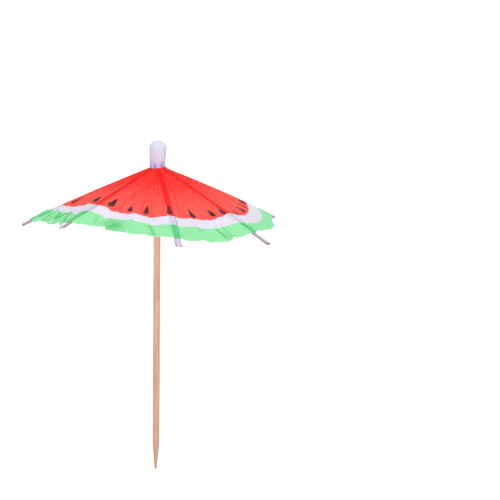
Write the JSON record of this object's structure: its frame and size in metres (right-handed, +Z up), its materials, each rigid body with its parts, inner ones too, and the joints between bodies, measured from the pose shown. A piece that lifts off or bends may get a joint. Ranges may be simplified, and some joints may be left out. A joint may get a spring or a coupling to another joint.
{
  "type": "cocktail umbrella pick",
  "caption": "Paper cocktail umbrella on a pointed wooden pick, with chipboard ribs and stretchers, a sliding runner and a lock ring that hold the canopy open.",
  "frame": {"origin": "tip of the pick, on its axis", "axes": "+Z up the pick to the crown, +X to the right and -Y to the front as the umbrella is pictured"},
  "size_m": [0.0769, 0.0793, 0.1016],
  "materials": {
    "pick_wood": "matte",
    "crown_pulp": "matte",
    "roll_paper": "matte",
    "chipboard": "matte",
    "tissue_paper": "matte",
    "ring_plastic": "gloss"
  },
  "bodies": {
    "stem": {"pick": "pick_wood", "crown": "crown_pulp", "crown_core": "roll_paper"},
    "rib_1": {"rib_1": "chipboard"},
    "rib_2": {"rib_2": "chipboard"},
    "rib_3": {"rib_3": "chipboard"},
    "rib_4": {"rib_4": "chipboard"},
    "rib_5": {"rib_5": "chipboard"},
    "rib_6": {"rib_6": "chipboard"},
    "rib_7": {"rib_7": "chipboard"},
    "rib_8": {"rib_8": "chipboard"},
    "stretcher_1": {"stretcher_1": "chipboard"},
    "stretcher_2": {"stretcher_2": "chipboard"},
    "stretcher_3": {"stretcher_3": "chipboard"},
    "stretcher_4": {"stretcher_4": "chipboard"},
    "stretcher_5": {"stretcher_5": "chipboard"},
    "stretcher_6": {"stretcher_6": "chipboard"},
    "stretcher_7": {"stretcher_7": "chipboard"},
    "stretcher_8": {"stretcher_8": "chipboard"},
    "canopy_1_left": {"canopy_1_left": "tissue_paper"},
    "canopy_1_right": {"canopy_1_right": "tissue_paper"},
    "canopy_2_left": {"canopy_2_left": "tissue_paper"},
    "canopy_2_right": {"canopy_2_right": "tissue_paper"},
    "canopy_3_left": {"canopy_3_left": "tissue_paper"},
    "canopy_3_right": {"canopy_3_right": "tissue_paper"},
    "canopy_4_left": {"canopy_4_left": "tissue_paper"},
    "canopy_4_right": {"canopy_4_right": "tissue_paper"},
    "canopy_5_left": {"canopy_5_left": "tissue_paper"},
    "canopy_5_right": {"canopy_5_right": "tissue_paper"},
    "canopy_6_left": {"canopy_6_left": "tissue_paper"},
    "canopy_6_right": {"canopy_6_right": "tissue_paper"},
    "canopy_7_left": {"canopy_7_left": "tissue_paper"},
    "canopy_7_right": {"canopy_7_right": "tissue_paper"},
    "canopy_8_left": {"canopy_8_left": "tissue_paper"},
    "canopy_8_right": {"canopy_8_right": "tissue_paper"},
    "runner": {"runner": "chipboard", "spacer_roll": "roll_paper"},
    "lock_ring": {"lock_ring": "ring_plastic"}
  },
  "joints": [
    {"name": "canopy_fold", "type": "hinge", "parent": "stem", "child": "rib_1", "pos_m": [0.00085, 0.00181, 0.09255], "axis": [-0.9063, 0.4226, 0], "range_deg": [0, 59]},
    {"name": "stretcher_1_fold", "type": "hinge", "parent": "rib_1", "child": "stretcher_1", "pos_m": [0.00746, 0.016, 0.08591], "axis": [-0.9063, 0.4226, 0], "range_deg": [-118.02, 0]},
    {"name": "runner_level", "type": "hinge", "parent": "stretcher_1", "child": "runner", "pos_m": [0.00085, 0.00181, 0.07927], "axis": [-0.9063, 0.4226, 0], "range_deg": [0, 59.02]},
    {"name": "canopy_1_left_fold", "type": "hinge", "parent": "rib_1", "child": "canopy_1_left", "pos_m": [0.00768, 0.01647, 0.08661], "axis": [0.389, 0.8343, -0.3907], "range_deg": [0, 71.23]},
    {"name": "canopy_1_right_fold", "type": "hinge", "parent": "rib_1", "child": "canopy_1_right", "pos_m": [0.00768, 0.01647, 0.08661], "axis": [-0.389, -0.8343, 0.3907], "range_deg": [0, 73.92]},
    {"name": "rib_2_fold", "type": "hinge", "parent": "stem", "child": "rib_2", "pos_m": [-0.00055, 0.00192, 0.09255], "axis": [-0.9613, -0.2756, 0], "range_deg": [0, 59.02]},
    {"name": "stretcher_2_fold", "type": "hinge", "parent": "rib_2", "child": "stretcher_2", "pos_m": [-0.00486, 0.01696, 0.08591], "axis": [-0.9613, -0.2756, 0], "range_deg": [-118.02, 0]},
    {"name": "canopy_2_left_fold", "type": "hinge", "parent": "rib_2", "child": "canopy_2_left", "pos_m": [-0.00501, 0.01746, 0.08661], "axis": [-0.2537, 0.8848, -0.3907], "range_deg": [0, 76.25]},
    {"name": "canopy_2_right_fold", "type": "hinge", "parent": "rib_2", "child": "canopy_2_right", "pos_m": [-0.00501, 0.01746, 0.08661], "axis": [0.2537, -0.8848, 0.3907], "range_deg": [0, 71.23]},
    {"name": "rib_3_fold", "type": "hinge", "parent": "stem", "child": "rib_3", "pos_m": [-0.00166, 0.00112, 0.09255], "axis": [-0.5592, -0.829, 0], "range_deg": [0, 56.02]},
    {"name": "stretcher_3_fold", "type": "hinge", "parent": "rib_3", "child": "stretcher_3", "pos_m": [-0.01462, 0.00986, 0.08493], "axis": [-0.5592, -0.829, 0], "range_deg": [-117.74, 0]},
    {"name": "canopy_3_left_fold", "type": "hinge", "parent": "rib_3", "child": "canopy_3_left", "pos_m": [-0.01471, 0.00992, 0.08581], "axis": [-0.7451, 0.5026, -0.4384], "range_deg": [0, 67.86]},
    {"name": "canopy_3_right_fold", "type": "hinge", "parent": "rib_3", "child": "canopy_3_right", "pos_m": [-0.01471, 0.00992, 0.08581], "axis": [0.7451, -0.5026, 0.4384], "range_deg": [0, 67.86]},
    {"name": "rib_4_fold", "type": "hinge", "parent": "stem", "child": "rib_4", "pos_m": [-0.00199, -0.00021, 0.09255], "axis": [0.1045, -0.9945, 0], "range_deg": [0, 59.02]},
    {"name": "stretcher_4_fold", "type": "hinge", "parent": "rib_4", "child": "stretcher_4", "pos_m": [-0.01755, -0.00184, 0.08591], "axis": [0.1045, -0.9945, 0], "range_deg": [-118.02, 0]},
    {"name": "canopy_4_left_fold", "type": "hinge", "parent": "rib_4", "child": "canopy_4_left", "pos_m": [-0.01807, -0.0019, 0.08661], "axis": [-0.9155, -0.0962, -0.3907], "range_deg": [0, 62.8]},
    {"name": "canopy_4_right_fold", "type": "hinge", "parent": "rib_4", "child": "canopy_4_right", "pos_m": [-0.01807, -0.0019, 0.08661], "axis": [0.9155, 0.0962, 0.3907], "range_deg": [0, 76.25]},
    {"name": "rib_5_fold", "type": "hinge", "parent": "stem", "child": "rib_5", "pos_m": [-0.00131, -0.00151, 0.09255], "axis": [0.7547, -0.6561, 0], "range_deg": [0, 64.52]},
    {"name": "stretcher_5_fold", "type": "hinge", "parent": "rib_5", "child": "stretcher_5", "pos_m": [-0.01152, -0.01325, 0.08765], "axis": [0.7547, -0.6561, 0], "range_deg": [-118.82, 0]},
    {"name": "canopy_5_left_fold", "type": "hinge", "parent": "rib_5", "child": "canopy_5_left", "pos_m": [-0.01235, -0.01421, 0.08813], "axis": [-0.6257, -0.7198, -0.3007], "range_deg": [0, 72.29]},
    {"name": "canopy_5_right_fold", "type": "hinge", "parent": "rib_5", "child": "canopy_5_right", "pos_m": [-0.01235, -0.01421, 0.08813], "axis": [0.6257, 0.7198, 0.3007], "range_deg": [0, 76.59]},
    {"name": "rib_6_fold", "type": "hinge", "parent": "stem", "child": "rib_6", "pos_m": [0.00031, -0.00198, 0.09255], "axis": [0.9877, 0.1564, 0], "range_deg": [0, 59.52]},
    {"name": "stretcher_6_fold", "type": "hinge", "parent": "rib_6", "child": "stretcher_6", "pos_m": [0.00276, -0.01743, 0.08607], "axis": [0.9877, 0.1564, 0], "range_deg": [-118.08, 0]},
    {"name": "canopy_6_left_fold", "type": "hinge", "parent": "rib_6", "child": "canopy_6_left", "pos_m": [0.00285, -0.01801, 0.08674], "axis": [0.1445, -0.9125, -0.3827], "range_deg": [0, 73.76]},
    {"name": "canopy_6_right_fold", "type": "hinge", "parent": "rib_6", "child": "canopy_6_right", "pos_m": [0.00285, -0.01801, 0.08674], "axis": [-0.1445, 0.9125, 0.3827], "range_deg": [0, 61.72]},
    {"name": "rib_7_fold", "type": "hinge", "parent": "stem", "child": "rib_7", "pos_m": [0.00162, -0.00118, 0.09255], "axis": [0.5878, 0.809, 0], "range_deg": [0, 56.52]},
    {"name": "stretcher_7_fold", "type": "hinge", "parent": "rib_7", "child": "stretcher_7", "pos_m": [0.01427, -0.01037, 0.08509], "axis": [0.5878, 0.809, 0], "range_deg": [-117.78, 0]},
    {"name": "canopy_7_left_fold", "type": "hinge", "parent": "rib_7", "child": "canopy_7_left", "pos_m": [0.01441, -0.01047, 0.08594], "axis": [0.7302, -0.5305, -0.4305], "range_deg": [0, 64.8]},
    {"name": "canopy_7_right_fold", "type": "hinge", "parent": "rib_7", "child": "canopy_7_right", "pos_m": [0.01441, -0.01047, 0.08594], "axis": [-0.7302, 0.5305, 0.4305], "range_deg": [0, 66.42]},
    {"name": "rib_8_fold", "type": "hinge", "parent": "stem", "child": "rib_8", "pos_m": [0.00181, 0.00085, 0.09255], "axis": [-0.4226, 0.9063, 0], "range_deg": [0, 57.52]},
    {"name": "stretcher_8_fold", "type": "hinge", "parent": "rib_8", "child": "stretcher_8", "pos_m": [0.01599, 0.00746, 0.08542], "axis": [-0.4226, 0.9063, 0], "range_deg": [-117.87, 0]},
    {"name": "canopy_8_left_fold", "type": "hinge", "parent": "rib_8", "child": "canopy_8_left", "pos_m": [0.01628, 0.00759, 0.08621], "axis": [0.8247, 0.3846, -0.4147], "range_deg": [0, 69.74]},
    {"name": "canopy_8_right_fold", "type": "hinge", "parent": "rib_8", "child": "canopy_8_right", "pos_m": [0.01628, 0.00759, 0.08621], "axis": [-0.8247, -0.3846, 0.4147], "range_deg": [0, 66.52]},
    {"name": "lock_ring_slide", "type": "slide", "parent": "runner", "child": "lock_ring", "axis": [0, 0, -1], "range_m": [0, 0.03]}
  ],
  "couplings": [
    {"joint": "stretcher_1_fold", "follows": "canopy_fold", "ratio": -2},
    {"joint": "runner_level", "follows": "canopy_fold", "ratio": 1},
    {"joint": "canopy_1_left_fold", "follows": "canopy_fold", "ratio": 1.207},
    {"joint": "canopy_1_right_fold", "follows": "canopy_fold", "ratio": 1.2526},
    {"joint": "rib_2_fold", "follows": "canopy_fold", "ratio": 1},
    {"joint": "stretcher_2_fold", "follows": "canopy_fold", "ratio": -2},
    {"joint": "canopy_2_left_fold", "follows": "canopy_fold", "ratio": 1.292},
    {"joint": "canopy_2_right_fold", "follows": "canopy_fold", "ratio": 1.207},
    {"joint": "rib_3_fold", "follows": "canopy_fold", "ratio": 0.94915},
    {"joint": "stretcher_3_fold", "follows": "canopy_fold", "ratio": -1.9952},
    {"joint": "canopy_3_left_fold", "follows": "canopy_fold", "ratio": 1.1498},
    {"joint": "canopy_3_right_fold", "follows": "canopy_fold", "ratio": 1.1498},
    {"joint": "rib_4_fold", "follows": "canopy_fold", "ratio": 1},
    {"joint": "stretcher_4_fold", "follows": "canopy_fold", "ratio": -2},
    {"joint": "canopy_4_left_fold", "follows": "canopy_fold", "ratio": 1.0641},
    {"joint": "canopy_4_right_fold", "follows": "canopy_fold", "ratio": 1.292},
    {"joint": "rib_5_fold", "follows": "canopy_fold", "ratio": 1.0932},
    {"joint": "stretcher_5_fold", "follows": "canopy_fold", "ratio": -2.0135},
    {"joint": "canopy_5_left_fold", "follows": "canopy_fold", "ratio": 1.2249},
    {"joint": "canopy_5_right_fold", "follows": "canopy_fold", "ratio": 1.2977},
    {"joint": "rib_6_fold", "follows": "canopy_fold", "ratio": 1.0085},
    {"joint": "stretcher_6_fold", "follows": "canopy_fold", "ratio": -2.001},
    {"joint": "canopy_6_left_fold", "follows": "canopy_fold", "ratio": 1.2498},
    {"joint": "canopy_6_right_fold", "follows": "canopy_fold", "ratio": 1.0458},
    {"joint": "rib_7_fold", "follows": "canopy_fold", "ratio": 0.95763},
    {"joint": "stretcher_7_fold", "follows": "canopy_fold", "ratio": -1.9959},
    {"joint": "canopy_7_left_fold", "follows": "canopy_fold", "ratio": 1.0979},
    {"joint": "canopy_7_right_fold", "follows": "canopy_fold", "ratio": 1.1254},
    {"joint": "rib_8_fold", "follows": "canopy_fold", "ratio": 0.97458},
    {"joint": "stretcher_8_fold", "follows": "canopy_fold", "ratio": -1.9974},
    {"joint": "canopy_8_left_fold", "follows": "canopy_fold", "ratio": 1.1817},
    {"joint": "canopy_8_right_fold", "follows": "canopy_fold", "ratio": 1.1272}
  ]
}
